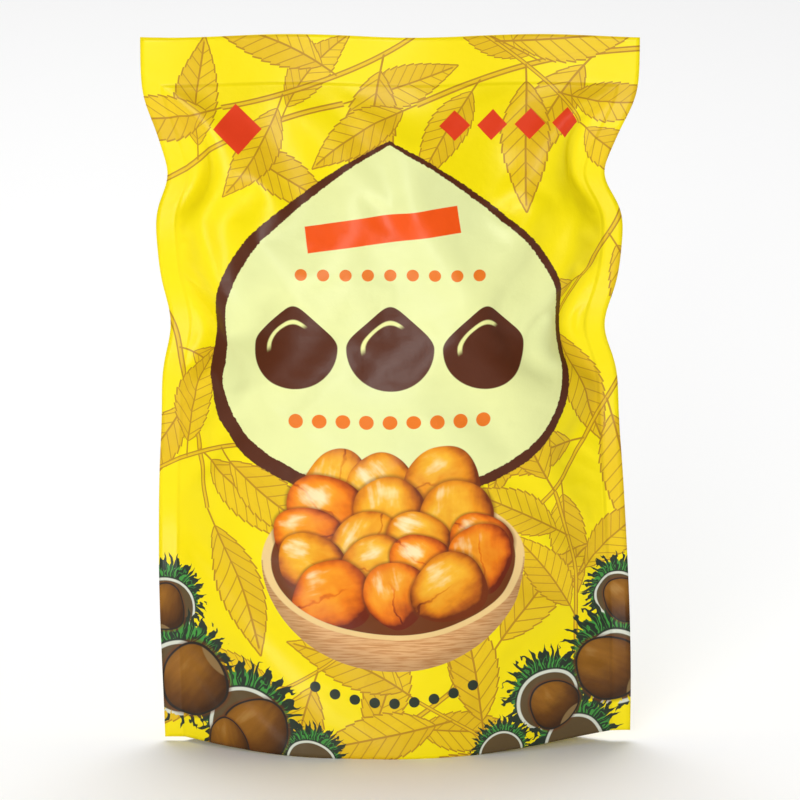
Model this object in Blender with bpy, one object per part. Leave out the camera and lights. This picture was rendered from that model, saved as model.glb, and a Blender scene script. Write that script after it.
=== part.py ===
"""Filled stand-up pouch of film, standing on its opened bottom gusset.

A panel is measured on the flat film: s runs across it from the middle, t runs up it from the bottom
edge. The front panel faces -Y. The pouch is shut, so it is one solid with its contents: two panels
that part from flat side seals and a flat top seal, and a gusset folded up between their skirts.
"""

import math

import bmesh
import bpy
import numpy as np

# Flat film, in metres
FLAT_WIDTH = 0.200
FLAT_HEIGHT = 0.300
SIDE_SEAL = 0.008
TOP_SEAL = 0.020
SEAL_THICKNESS = 0.0008

# Filled body: its section is a lens of this power, and the film is slack near the sides and the top
STANDING_LOSS = 0.007
LOSS_FROM = 0.120
SLACK_FROM = 0.045
BELLY_DEPTH = 0.029
TAPER_POWER = 4.5
FOOT_SHARE = 0.12
FOOT_HEIGHT = 0.055
FOOT_REACH = 0.060
SECTION_POWER = 2.6
FOOT_FLATTER = 1.0
FOOT_FLATTER_TOP = 0.200

# The side seals are drawn in at these heights: height, reach up and down, depth at left and right
PINCHES = (
    (0.2416, 0.0130, 0.0066, 0.0092),
    (0.1758, 0.0160, 0.0042, 0.0060),
    (0.2590, 0.0140, 0.0044, 0.0060),
    (0.2078, 0.0450, 0.0026, 0.0030),
    (0.1390, 0.0220, 0.0009, 0.0012),
)
SHARP_PINCHES = PINCHES[:2]
PINCH_HOLLOW = 0.55
PINCH_HOLLOW_REACH = 0.024
PINCH_HOLLOW_HEIGHT = 0.010

# The lower body leans a little to the right
LEAN = 0.0020
LEAN_TOP = 0.120

# Slack side seals sway off the middle plane: size, length of wave, phase at left and right
SEAM_SWAYS = (
    (0.0014, 0.083, 0.4, 2.9),
    (0.0008, 0.047, 1.7, 0.2),
)
SWAY_INNER = 0.062
SWAY_FOOT = 0.080
SWAY_TOP = 0.280
SWAY_TOP_REACH = 0.040

# The top seal is bowed across the pouch
TOP_BOW = 0.0030
TOP_BOW_FROM = 0.200
TOP_BOW_LENGTH = 0.100
TOP_BOW_CREST = -0.040

# Soft folds of a panel: start s, start t, end s, end t, height (negative is a hollow), reach
FRONT_FOLDS = (
    (0.006, 0.254, 0.010, 0.228, 0.0016, 0.0060),
    (0.010, 0.228, 0.032, 0.194, 0.0014, 0.0075),
    (-0.006, 0.256, 0.000, 0.226, -0.0020, 0.0080),
    (0.026, 0.174, 0.010, 0.150, 0.0011, 0.0080),
    (0.068, 0.252, 0.050, 0.228, 0.0022, 0.0070),
    (0.022, 0.262, 0.046, 0.246, -0.0026, 0.0090),
    (-0.084, 0.232, -0.070, 0.182, 0.0022, 0.0065),
    (-0.068, 0.226, -0.058, 0.176, -0.0022, 0.0080),
    (0.080, 0.222, 0.066, 0.170, 0.0020, 0.0065),
    (0.062, 0.214, 0.052, 0.166, -0.0018, 0.0080),
    (-0.060, 0.266, -0.034, 0.246, -0.0022, 0.0090),
)
BACK_FOLDS = (
    (-0.014, 0.256, -0.026, 0.214, 0.0018, 0.0070),
    (0.018, 0.258, 0.012, 0.220, -0.0022, 0.0085),
    (-0.070, 0.252, -0.046, 0.226, 0.0022, 0.0070),
    (0.060, 0.262, 0.040, 0.240, -0.0024, 0.0090),
    (-0.082, 0.222, -0.068, 0.172, 0.0020, 0.0065),
    (0.082, 0.228, 0.070, 0.178, 0.0020, 0.0065),
    (0.030, 0.120, -0.030, 0.108, 0.0010, 0.0100),
)
FOLD_BODY_DEPTH = 0.008

# Base: the skirts stand on the floor, and the gusset between them hangs down onto its flat middle
CORNER_LIFT_LEFT = 0.0018
CORNER_LIFT_RIGHT = 0.0044
CORNER_LIFT_WIDTH = 0.075
CORNER_LIFT_HEIGHT = 0.050
SKIRT_HEIGHT = 0.005
GUSSET_FLAT_WIDTH = 0.100
GUSSET_FLAT_SHARE = 0.5
GUSSET_TOP_SHARE = 0.96
GUSSET_RISE = 0.026
GUSSET_RISE_POWER = 1.5
CAVITY_LEAST = 0.0016

# Grid of the solid
BODY_COLUMNS = 40
BODY_ROWS = 42
TOP_SEAL_ROWS = 3
SKIRT_WALL_ROWS = 3
GUSSET_FLAT_ROWS = 2
SECTION_SAMPLES = 160
WELD = 1e-5

HALF_WIDTH = FLAT_WIDTH / 2
INNER_HALF = HALF_WIDTH - SIDE_SEAL
FILLED_HEIGHT = FLAT_HEIGHT - TOP_SEAL
FILM_YELLOW = (0.965, 0.800, 0.030, 1.0)
FILM_ROUGHNESS = 0.35


def smoothstep(value):
    value = np.clip(value, 0, 1)
    return value * value * (3 - 2 * value)


def bell(value, centre, reach):
    return np.exp(-(((value - centre) / reach) ** 2))


def half_depth(t):
    """Half the depth of the filled body at the middle of a panel."""
    taper = 1 - np.clip(t / FILLED_HEIGHT, 0, 1) ** TAPER_POWER
    foot = 1 - FOOT_SHARE * bell(t, FOOT_HEIGHT, FOOT_REACH)
    return BELLY_DEPTH * taper * foot


def standing_height(t):
    """Height above the floor: the slack top of the film stands lower than it is long."""
    return t - STANDING_LOSS * smoothstep((t - LOSS_FROM) / (FILLED_HEIGHT - LOSS_FROM))


def section_power(side, t):
    """Power of the lens on one side. The foot is flatter at the right."""
    return SECTION_POWER - (side > 0) * FOOT_FLATTER * smoothstep(1 - t / FOOT_FLATTER_TOP)


def seam_x(side, t):
    """Distance from the middle to the inner line of a side seal. side is -1 at the left, 1 at the right."""
    power = section_power(side, t)
    spare = 2 * power**2 / (2 * power - 1) * half_depth(t) ** 2
    chord = (INNER_HALF + np.sqrt(INNER_HALF**2 - spare)) / 2
    for height, reach, left, right in PINCHES:
        chord = chord - (left if side < 0 else right) * bell(t, height, reach)
    return chord


def section(s, t):
    """x and half thickness of the body across one panel at one height, by true length along the film."""
    share = np.linspace(0, 1, SECTION_SAMPLES)
    x = np.empty_like(s)
    thick = np.empty_like(s)
    for side in (-1, 1):
        here = s * side >= 0
        run = seam_x(side, t) * share
        bulge = half_depth(t) * (1 - share ** section_power(side, t))
        along = np.concatenate([[0], np.cumsum(np.hypot(np.diff(run), np.diff(bulge)))])
        reach = np.abs(s[here])
        seal = np.maximum(reach - INNER_HALF, 0)
        slack = (INNER_HALF - along[-1]) * smoothstep((reach - SLACK_FROM) / (INNER_HALF - SLACK_FROM))
        x[here] = side * (np.interp(reach - slack, along, run) + seal)
        thick[here] = np.interp(reach - slack, along, bulge)
    return x, thick


def fold_relief(s, t, folds):
    """Height of the soft folds over the panel."""
    relief = np.zeros_like(s)
    for s0, t0, s1, t1, height, reach in folds:
        along = np.array([s1 - s0, t1 - t0])
        share = ((s - s0) * along[0] + (t - t0) * along[1]) / (along @ along)
        share = np.clip(share, 0, 1)
        gap = np.hypot(s - s0 - share * along[0], t - t0 - share * along[1])
        relief += height * bell(gap, 0, reach)
    return relief


def pinch_hollow(s, t):
    """Share of the thickness left where a drawn-in seal folds the film beside it."""
    beside = bell(np.abs(s), INNER_HALF, PINCH_HOLLOW_REACH)
    left = np.ones_like(s)
    for height, _, _, _ in SHARP_PINCHES:
        left -= PINCH_HOLLOW * beside * bell(t, height, PINCH_HOLLOW_HEIGHT)
    return left


def sway(s, t):
    """How far slack film carries both panels off the middle plane together."""
    beside = smoothstep((np.abs(s) - SWAY_INNER) / (HALF_WIDTH - SWAY_INNER))
    window = smoothstep(t / SWAY_FOOT) * smoothstep((SWAY_TOP - t) / SWAY_TOP_REACH)
    wave = np.zeros_like(s)
    for size, length, left_phase, right_phase in SEAM_SWAYS:
        phase = np.where(s < 0, left_phase, right_phase)
        wave += size * np.sin(2 * math.pi * t / length + phase)
    bow = TOP_BOW * np.cos(2 * math.pi * (s - TOP_BOW_CREST) / TOP_BOW_LENGTH)
    return wave * beside * window + bow * smoothstep((t - TOP_BOW_FROM) / (FLAT_HEIGHT - TOP_BOW_FROM))


def floor_lift(s, t):
    """The bottom corners stand clear of the floor."""
    corner = np.where(s < 0, CORNER_LIFT_LEFT, CORNER_LIFT_RIGHT)
    beside = smoothstep(1 - (HALF_WIDTH - np.abs(s)) / CORNER_LIFT_WIDTH)
    return corner * beside * np.exp(-t / CORNER_LIFT_HEIGHT)


def panel_row(s, t, facing, folds):
    """Points across a panel at one height. facing is -1 for the front panel, 1 for the back panel."""
    x, thick = section(s, t)
    relief = fold_relief(s, t, folds) * smoothstep(thick / FOLD_BODY_DEPTH)
    thick = thick * pinch_hollow(s, t) + relief
    x = x + LEAN * smoothstep(1 - t / LEAN_TOP)
    y = sway(s, t) + facing * (thick + SEAL_THICKNESS / 2)
    z = standing_height(t) + floor_lift(s, t)
    return np.stack([x, y, z], axis=1)


def panel(s, heights, facing, folds):
    return np.array([panel_row(s, t, facing, folds) for t in heights])


def gusset(s, facing, folds):
    """Half of the underside: the bottom of a skirt, its inner wall, and the gusset up to its centre fold."""
    edge = panel_row(s, 0.0, facing, folds)
    inside = np.abs(edge[:, 1]) - SEAL_THICKNESS
    open_here = inside > CAVITY_LEAST
    flat_half = GUSSET_FLAT_WIDTH / 2
    climb = np.clip((np.abs(s) - flat_half) / (INNER_HALF - flat_half), 0, 1)
    rise = GUSSET_RISE * climb**GUSSET_RISE_POWER
    wall = np.linspace(GUSSET_TOP_SHARE, GUSSET_FLAT_SHARE, SKIRT_WALL_ROWS)
    flat = np.linspace(GUSSET_FLAT_SHARE, 0, GUSSET_FLAT_ROWS + 1)[1:]
    hem = edge.copy()
    hem[:, 1] = facing * np.where(open_here, inside, 0)
    rows = [edge, hem]
    for share in np.concatenate([wall, flat]):
        hang = smoothstep((share - GUSSET_FLAT_SHARE) / (GUSSET_TOP_SHARE - GUSSET_FLAT_SHARE))
        row = edge.copy()
        row[:, 1] = facing * np.where(open_here, inside * share, 0)
        row[:, 2] = np.where(open_here, rise + SKIRT_HEIGHT * hang, edge[:, 2])
        rows.append(row)
    return np.array(rows)


def add_sheet(bm, points):
    """Adds a grid of quads through rows of points."""
    rows, columns, _ = points.shape
    verts = [[bm.verts.new(point) for point in row] for row in points]
    for i in range(rows - 1):
        for j in range(columns - 1):
            bm.faces.new((verts[i][j], verts[i][j + 1], verts[i + 1][j + 1], verts[i + 1][j]))


def centre_on_floor(bm):
    """Moves the pouch so that its box stands on the floor, centred on the origin."""
    points = np.array([vert.co for vert in bm.verts])
    low = points.min(axis=0)
    high = points.max(axis=0)
    shift = -(low + high) / 2
    shift[2] = -low[2]
    bmesh.ops.translate(bm, verts=bm.verts, vec=shift)


def film_material():
    material = bpy.data.materials.new("film")
    material.use_nodes = True
    shader = material.node_tree.nodes["Principled BSDF"]
    shader.inputs["Base Color"].default_value = FILM_YELLOW
    shader.inputs["Roughness"].default_value = FILM_ROUGHNESS
    shader.inputs["Metallic"].default_value = 0.0
    return material


def build_pouch(collection):
    inner = INNER_HALF * np.sin(np.linspace(-math.pi / 2, math.pi / 2, BODY_COLUMNS + 1))
    s = np.concatenate([[-HALF_WIDTH], inner, [HALF_WIDTH]])
    filled = np.linspace(0, FILLED_HEIGHT, BODY_ROWS + 1)
    sealed = np.linspace(FILLED_HEIGHT, FLAT_HEIGHT, TOP_SEAL_ROWS + 1)[1:]
    heights = np.concatenate([filled, sealed])
    front = panel(s, heights, -1, FRONT_FOLDS)
    back = panel(s, heights, 1, BACK_FOLDS)
    middle = (front + back) / 2

    bm = bmesh.new()
    add_sheet(bm, front)
    add_sheet(bm, back)
    add_sheet(bm, gusset(s, -1, FRONT_FOLDS))
    add_sheet(bm, gusset(s, 1, BACK_FOLDS))
    add_sheet(bm, np.array([front[-1], middle[-1], back[-1]]))
    for end in (0, -1):
        add_sheet(bm, np.array([front[:, end], middle[:, end], back[:, end]]))
    bmesh.ops.remove_doubles(bm, verts=bm.verts, dist=WELD)
    bmesh.ops.dissolve_degenerate(bm, edges=bm.edges, dist=WELD)
    bmesh.ops.recalc_face_normals(bm, faces=bm.faces)
    centre_on_floor(bm)
    mesh = bpy.data.meshes.new("pouch")
    bm.to_mesh(mesh)
    bm.free()
    mesh.shade_smooth()
    mesh.materials.append(film_material())
    pouch = bpy.data.objects.new("pouch", mesh)
    collection.objects.link(pouch)


def main():
    for obj in list(bpy.data.objects):
        bpy.data.objects.remove(obj)
    collection = bpy.data.collections.new("standing_pouch")
    bpy.context.scene.collection.children.link(collection)
    build_pouch(collection)


main()
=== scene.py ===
"""Looks of the standing film pouch: slack film with its folds, print, studio light and camera.

A panel is measured on the flat film: s runs across it from the middle, t runs up it from the bottom
edge, both in metres, as in the pouch's own source. The front panel faces -Y.
"""

import math

import bmesh
import bpy
import numpy as np
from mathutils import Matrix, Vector


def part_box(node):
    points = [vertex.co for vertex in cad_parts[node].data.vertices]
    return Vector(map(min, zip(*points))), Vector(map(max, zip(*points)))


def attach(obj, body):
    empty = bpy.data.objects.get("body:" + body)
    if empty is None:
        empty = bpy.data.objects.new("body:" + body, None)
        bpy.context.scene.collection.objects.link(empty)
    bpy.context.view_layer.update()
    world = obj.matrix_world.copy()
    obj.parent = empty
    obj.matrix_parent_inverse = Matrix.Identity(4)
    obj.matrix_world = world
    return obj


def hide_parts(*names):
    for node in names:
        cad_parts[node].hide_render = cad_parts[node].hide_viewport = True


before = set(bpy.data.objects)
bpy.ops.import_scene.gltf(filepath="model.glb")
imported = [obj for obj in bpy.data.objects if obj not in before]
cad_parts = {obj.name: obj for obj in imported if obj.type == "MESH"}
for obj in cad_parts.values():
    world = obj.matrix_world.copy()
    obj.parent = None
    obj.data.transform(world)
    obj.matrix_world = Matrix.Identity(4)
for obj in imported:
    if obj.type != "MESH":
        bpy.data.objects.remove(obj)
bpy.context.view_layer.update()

# Flat film and filled body, as in the pouch's source, except that the slack starts further out
FLAT_WIDTH = 0.200
FLAT_HEIGHT = 0.300
SIDE_SEAL = 0.008
TOP_SEAL = 0.020
STANDING_LOSS = 0.007
LOSS_FROM = 0.120
SLACK_FROM = 0.066
BELLY_DEPTH = 0.029
TAPER_POWER = 4.5
FOOT_SHARE = 0.12
FOOT_HEIGHT = 0.055
FOOT_REACH = 0.060
SECTION_POWER = 2.6
FOOT_FLATTER = 1.0
FOOT_FLATTER_TOP = 0.200
HALF_WIDTH = FLAT_WIDTH / 2
INNER_HALF = HALF_WIDTH - SIDE_SEAL
FILLED_HEIGHT = FLAT_HEIGHT - TOP_SEAL

# Where the side seals are drawn in: height, reach up and down, depth at left and right
PINCHES = (
    (0.2416, 0.0130, 0.0066, 0.0092),
    (0.1758, 0.0160, 0.0042, 0.0060),
    (0.2590, 0.0140, 0.0044, 0.0060),
    (0.2078, 0.0450, 0.0026, 0.0030),
    (0.1390, 0.0220, 0.0009, 0.0012),
)
SHARP_PINCHES = PINCHES[:2]
PINCH_HOLLOW = 0.55
PINCH_HOLLOW_REACH = 0.024
PINCH_HOLLOW_HEIGHT = 0.010
LEAN = 0.0020
LEAN_TOP = 0.120

# Sway of the slack side seals: size, length of wave, phase at left and right
SEAM_SWAYS = (
    (0.0014, 0.083, 0.4, 2.9),
    (0.0008, 0.047, 1.7, 0.2),
)
SWAY_INNER = 0.062
SWAY_FOOT = 0.080
SWAY_TOP = 0.280
SWAY_TOP_REACH = 0.040
TOP_BOW = 0.0030
TOP_BOW_FROM = 0.200
TOP_BOW_LENGTH = 0.100
TOP_BOW_CREST = -0.040

# Soft folds of a panel: start s, start t, end s, end t, height (negative is a hollow), reach
FRONT_FOLDS = (
    (0.006, 0.254, 0.010, 0.228, 0.0016, 0.0060),
    (0.010, 0.228, 0.032, 0.194, 0.0014, 0.0075),
    (-0.006, 0.256, 0.000, 0.226, -0.0020, 0.0080),
    (0.026, 0.174, 0.010, 0.150, 0.0011, 0.0080),
    (0.068, 0.252, 0.050, 0.228, 0.0022, 0.0070),
    (0.022, 0.262, 0.046, 0.246, -0.0026, 0.0090),
    (-0.084, 0.232, -0.070, 0.182, 0.0022, 0.0065),
    (-0.068, 0.226, -0.058, 0.176, -0.0022, 0.0080),
    (0.080, 0.222, 0.066, 0.170, 0.0020, 0.0065),
    (0.062, 0.214, 0.052, 0.166, -0.0018, 0.0080),
    (-0.060, 0.266, -0.034, 0.246, -0.0022, 0.0090),
)
BACK_FOLDS = (
    (-0.014, 0.256, -0.026, 0.214, 0.0018, 0.0070),
    (0.018, 0.258, 0.012, 0.220, -0.0022, 0.0085),
    (-0.070, 0.252, -0.046, 0.226, 0.0022, 0.0070),
    (0.060, 0.262, 0.040, 0.240, -0.0024, 0.0090),
    (-0.082, 0.222, -0.068, 0.172, 0.0020, 0.0065),
    (0.082, 0.228, 0.070, 0.178, 0.0020, 0.0065),
    (0.030, 0.120, -0.030, 0.108, 0.0010, 0.0100),
)
FOLD_BODY_DEPTH = 0.008

# Base
CORNER_LIFT_LEFT = 0.0018
CORNER_LIFT_RIGHT = 0.0044
CORNER_LIFT_WIDTH = 0.075
CORNER_LIFT_HEIGHT = 0.050
SKIRT_HEIGHT = 0.005
GUSSET_FLAT_WIDTH = 0.100
GUSSET_FLAT_SHARE = 0.5
GUSSET_TOP_SHARE = 0.96
GUSSET_RISE = 0.026
GUSSET_RISE_POWER = 1.5
CAVITY_LEAST = 0.0012

# Film mesh, in cells that halve twice evenly
FILM_THICKNESS = 0.00035
BODY_COLUMNS = 116
SEAL_COLUMNS = 4
BODY_ROWS = 176
TOP_SEAL_ROWS = 12
SKIRT_WALL_ROWS = 8
GUSSET_FLAT_ROWS = 6
SECTION_SAMPLES = 160
WELD = 2e-5
HAIR = 1e-6

# Material slots of the film
FRONT = 0
BACK = 1
GUSSET = 2

# Relaxing of the film: cells joined into one, passes, pull to the form, stiffness in bending
RELAX_LEVELS = (
    (4, 500, 0.0030, 0.55),
    (2, 260, 0.0020, 0.55),
    (1, 70, 0.0010, 0.55),
)
BENDING_REACHES = ((0, 2), (2, 0), (0, 3), (3, 0))
SLACK_KEPT = 0.44
RELAX_SEED = 11
RELAX_NOISE = 0.0006
NOISE_CELLS = 12
SKIRT_HELD = 0.006

# How far slack film may bulge out of its form: over the contents, and above them
CONTENTS_GIVE = 0.0025
EMPTY_GIVE = 0.0090
CONTENTS_TOP = 0.175
CONTENTS_FADE = 0.060

# Where a panel stays calmer: share of the folds lost, s, t, reach across and up
CALM_SPOTS = (
    (0.20, 0.000, 0.185, 0.048, 0.050),
    (0.60, 0.076, 0.232, 0.013, 0.022),
)


def smoothstep(value):
    value = np.clip(value, 0, 1)
    return value * value * (3 - 2 * value)


def bell(value, centre, reach):
    return np.exp(-(((value - centre) / reach) ** 2))


def half_depth(t):
    """Half the depth of the filled body at the middle of a panel."""
    taper = 1 - np.clip(t / FILLED_HEIGHT, 0, 1) ** TAPER_POWER
    foot = 1 - FOOT_SHARE * bell(t, FOOT_HEIGHT, FOOT_REACH)
    return BELLY_DEPTH * taper * foot


def standing_height(t):
    """Height above the floor: the slack top of the film stands lower than it is long."""
    return t - STANDING_LOSS * smoothstep((t - LOSS_FROM) / (FILLED_HEIGHT - LOSS_FROM))


def section_power(side, t):
    """Power of the lens on one side. The foot is flatter at the right."""
    return SECTION_POWER - (side > 0) * FOOT_FLATTER * smoothstep(1 - t / FOOT_FLATTER_TOP)


def seam_x(side, t):
    """Distance from the middle to the inner line of a side seal. side is -1 at the left, 1 at the right."""
    power = section_power(side, t)
    spare = 2 * power**2 / (2 * power - 1) * half_depth(t) ** 2
    chord = (INNER_HALF + np.sqrt(INNER_HALF**2 - spare)) / 2
    for height, reach, left, right in PINCHES:
        chord = chord - (left if side < 0 else right) * bell(t, height, reach)
    return chord


def section(s, t):
    """x and half thickness of the body across one panel at one height, by true length along the film."""
    share = np.linspace(0, 1, SECTION_SAMPLES)
    x = np.empty_like(s)
    thick = np.empty_like(s)
    for side in (-1, 1):
        here = s * side >= 0
        run = seam_x(side, t) * share
        bulge = half_depth(t) * (1 - share ** section_power(side, t))
        along = np.concatenate([[0], np.cumsum(np.hypot(np.diff(run), np.diff(bulge)))])
        reach = np.abs(s[here])
        seal = np.maximum(reach - INNER_HALF, 0)
        slack = (INNER_HALF - along[-1]) * smoothstep((reach - SLACK_FROM) / (INNER_HALF - SLACK_FROM))
        x[here] = side * (np.interp(reach - slack, along, run) + seal)
        thick[here] = np.interp(reach - slack, along, bulge)
    return x, thick


def fold_relief(s, t, folds):
    """Height of the soft folds over the panel."""
    relief = np.zeros_like(s)
    for s0, t0, s1, t1, height, reach in folds:
        along = np.array([s1 - s0, t1 - t0])
        share = ((s - s0) * along[0] + (t - t0) * along[1]) / (along @ along)
        share = np.clip(share, 0, 1)
        gap = np.hypot(s - s0 - share * along[0], t - t0 - share * along[1])
        relief += height * bell(gap, 0, reach)
    return relief


def pinch_hollow(s, t):
    """Share of the thickness left where a drawn-in seal folds the film beside it."""
    beside = bell(np.abs(s), INNER_HALF, PINCH_HOLLOW_REACH)
    left = np.ones_like(s)
    for height, _, _, _ in SHARP_PINCHES:
        left -= PINCH_HOLLOW * beside * bell(t, height, PINCH_HOLLOW_HEIGHT)
    return left


def sway(s, t):
    """How far slack film carries both panels off the middle plane together."""
    beside = smoothstep((np.abs(s) - SWAY_INNER) / (HALF_WIDTH - SWAY_INNER))
    window = smoothstep(t / SWAY_FOOT) * smoothstep((SWAY_TOP - t) / SWAY_TOP_REACH)
    wave = np.zeros_like(s)
    for size, length, left_phase, right_phase in SEAM_SWAYS:
        phase = np.where(s < 0, left_phase, right_phase)
        wave += size * np.sin(2 * math.pi * t / length + phase)
    bow = TOP_BOW * np.cos(2 * math.pi * (s - TOP_BOW_CREST) / TOP_BOW_LENGTH)
    return wave * beside * window + bow * smoothstep((t - TOP_BOW_FROM) / (FLAT_HEIGHT - TOP_BOW_FROM))


def floor_lift(s, t):
    """The bottom corners stand clear of the floor."""
    corner = np.where(s < 0, CORNER_LIFT_LEFT, CORNER_LIFT_RIGHT)
    beside = smoothstep(1 - (HALF_WIDTH - np.abs(s)) / CORNER_LIFT_WIDTH)
    return corner * beside * np.exp(-t / CORNER_LIFT_HEIGHT)


def panel_row(s, t, facing, folds):
    """Points across a panel at one height. facing is -1 for the front panel, 1 for the back panel."""
    x, thick = section(s, t)
    relief = fold_relief(s, t, folds) * smoothstep(thick / FOLD_BODY_DEPTH)
    thick = thick * pinch_hollow(s, t) + relief
    x = x + LEAN * smoothstep(1 - t / LEAN_TOP)
    y = sway(s, t) + facing * (thick + FILM_THICKNESS / 2)
    z = standing_height(t) + floor_lift(s, t)
    return np.stack([x, y, z], axis=1)


def panel(s, heights, facing, folds):
    return np.array([panel_row(s, t, facing, folds) for t in heights])


# Slack film: cells of nearly true length, pushed outwards by the contents


def links(form, s, t):
    """Groups of pairs that share no point: slices of both ends, length, and whether it only bends."""
    rows, columns, _ = form.shape
    groups = []
    for down, across in ((0, 1), (1, 0), (1, 1), (1, -1), *BENDING_REACHES):
        step = max(down, abs(across))
        for phase in range(2):
            if down:
                first = [i for i in range(rows - down) if (i // step) % 2 == phase]
                second = list(range(max(0, -across), columns - max(0, across)))
            else:
                first = list(range(rows))
                second = [j for j in range(columns - across) if (j // step) % 2 == phase]
            a = np.ix_(first, second)
            b = np.ix_([i + down for i in first], [j + across for j in second])
            flat = np.hypot(
                (t[b[0].ravel()] - t[a[0].ravel()])[:, None],
                (s[b[1].ravel()] - s[a[1].ravel()])[None, :],
            )
            formed = np.linalg.norm(form[b] - form[a], axis=2)
            groups.append((a, b, formed + SLACK_KEPT * (flat - formed), step > 1))
    return groups


def relax(points, target, s, t, free, give, passes, follow, bending):
    """Moves points until the cells keep their lengths, close to the target."""
    groups = links(target, s, t)
    free = free[..., None]
    for _ in range(passes):
        points += follow * free * (target - points)
        for a, b, length, bends in groups:
            gap = points[b] - points[a]
            size = np.linalg.norm(gap, axis=2)
            error = size - length
            if bends:
                error = bending * np.minimum(error, 0)
            weight_a = free[a]
            weight_b = free[b]
            share = (error / size)[..., None] * gap / np.maximum(weight_a + weight_b, 1)
            points[a] += weight_a * share
            points[b] -= weight_b * share
        points[..., 1] = np.minimum(points[..., 1], give)
    return points


def smooth_noise(rows, columns, cells, seed):
    """Noise from -1 to 1 over a grid, smooth between coarse random values."""
    rng = np.random.default_rng(seed)
    coarse = rng.uniform(-1, 1, (cells + 2, cells + 2))
    i = np.linspace(0, cells, rows)
    j = np.linspace(0, cells, columns)
    i0 = np.floor(i).astype(int)
    j0 = np.floor(j).astype(int)
    fi = smoothstep(i - i0)[:, None]
    fj = smoothstep(j - j0)[None, :]
    low = coarse[np.ix_(i0, j0)] * (1 - fj) + coarse[np.ix_(i0, j0 + 1)] * fj
    high = coarse[np.ix_(i0 + 1, j0)] * (1 - fj) + coarse[np.ix_(i0 + 1, j0 + 1)] * fj
    return low * (1 - fi) + high * fi


def refine(grid, rows, columns):
    """Values of a coarse grid at the points of a finer one."""
    i = np.linspace(0, grid.shape[0] - 1, rows)
    j = np.linspace(0, grid.shape[1] - 1, columns)
    i0 = np.minimum(np.floor(i).astype(int), grid.shape[0] - 2)
    j0 = np.minimum(np.floor(j).astype(int), grid.shape[1] - 2)
    fi = (i - i0)[:, None, None]
    fj = (j - j0)[None, :, None]
    low = grid[np.ix_(i0, j0)] * (1 - fj) + grid[np.ix_(i0, j0 + 1)] * fj
    high = grid[np.ix_(i0 + 1, j0)] * (1 - fj) + grid[np.ix_(i0 + 1, j0 + 1)] * fj
    return low * (1 - fi) + high * fi


def slack_film(target, s, t, facing, seed):
    """The panel as slack film: its smooth form with the folds that its true lengths force on it."""
    facing_front = target * np.array([1, -facing, 1])
    middle_plane = -facing * np.array([sway(s, height) for height in t])
    moved = np.zeros((2, 2, 3))
    for cells, passes, follow, bending in RELAX_LEVELS:
        level = facing_front[::cells, ::cells]
        s_level = s[::cells]
        t_level = t[::cells]
        rows, columns, _ = level.shape
        points = level + refine(moved, rows, columns)
        if cells == RELAX_LEVELS[0][0]:
            points[..., 1] += RELAX_NOISE * smooth_noise(rows, columns, NOISE_CELLS, seed)
        inner = np.abs(s_level) < INNER_HALF - HAIR
        body = (t_level > SKIRT_HELD) & (t_level < FILLED_HEIGHT - HAIR)
        free = (body[:, None] & inner[None, :]).astype(float)
        empty = smoothstep((t_level - CONTENTS_TOP) / CONTENTS_FADE)[:, None]
        filled = smoothstep((t_level - GUSSET_RISE) / GUSSET_RISE)[:, None]
        give = level[..., 1] + CONTENTS_GIVE * filled + (EMPTY_GIVE - CONTENTS_GIVE) * empty
        give = np.minimum(give, middle_plane[::cells, ::cells] - FILM_THICKNESS / 2)
        give = np.where(free > 0, give, level[..., 1])
        points = relax(points, level, s_level, t_level, free, give, passes, follow, bending)
        moved = points - level
    for share, spot_s, spot_t, across, up in CALM_SPOTS:
        calm = share * bell(s[None, :], spot_s, across) * bell(t[:, None], spot_t, up)
        moved *= 1 - calm[..., None]
    return (facing_front + moved) * np.array([1, -facing, 1])


def gusset(edge, s, facing):
    """Half of the underside: the hem of a skirt, its inner wall, and the gusset up to its centre fold."""
    inside = np.abs(edge[:, 1]) - FILM_THICKNESS
    open_here = inside > CAVITY_LEAST
    flat_half = GUSSET_FLAT_WIDTH / 2
    climb = np.clip((np.abs(s) - flat_half) / (INNER_HALF - flat_half), 0, 1)
    rise = GUSSET_RISE * climb**GUSSET_RISE_POWER
    wall = np.linspace(GUSSET_TOP_SHARE, GUSSET_FLAT_SHARE, SKIRT_WALL_ROWS)
    flat = np.linspace(GUSSET_FLAT_SHARE, 0, GUSSET_FLAT_ROWS + 1)[1:]
    hem = edge.copy()
    hem[:, 1] = facing * np.where(open_here, inside, 0)
    rows = [edge, hem]
    for share in np.concatenate([wall, flat]):
        hang = smoothstep((share - GUSSET_FLAT_SHARE) / (GUSSET_TOP_SHARE - GUSSET_FLAT_SHARE))
        row = edge.copy()
        row[:, 1] = facing * np.where(open_here, inside * share, 0)
        row[:, 2] = np.where(open_here, rise + SKIRT_HEIGHT * hang, edge[:, 2])
        rows.append(row)
    return np.array(rows)


# Print, in millimetres on the flat film: s from the middle, t from the bottom edge

MILLIMETRES = 1000
PRINT_SEED = 5

# Corner attributes that say where a face lies in the shapes printed on it, the topmost first
SPRIG_LAYERS = ("sprig_1", "sprig_2", "sprig_3")
MARK_LAYERS = ("mark_1", "mark_2", "mark_3", "mark_4", "mark_5")

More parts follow.
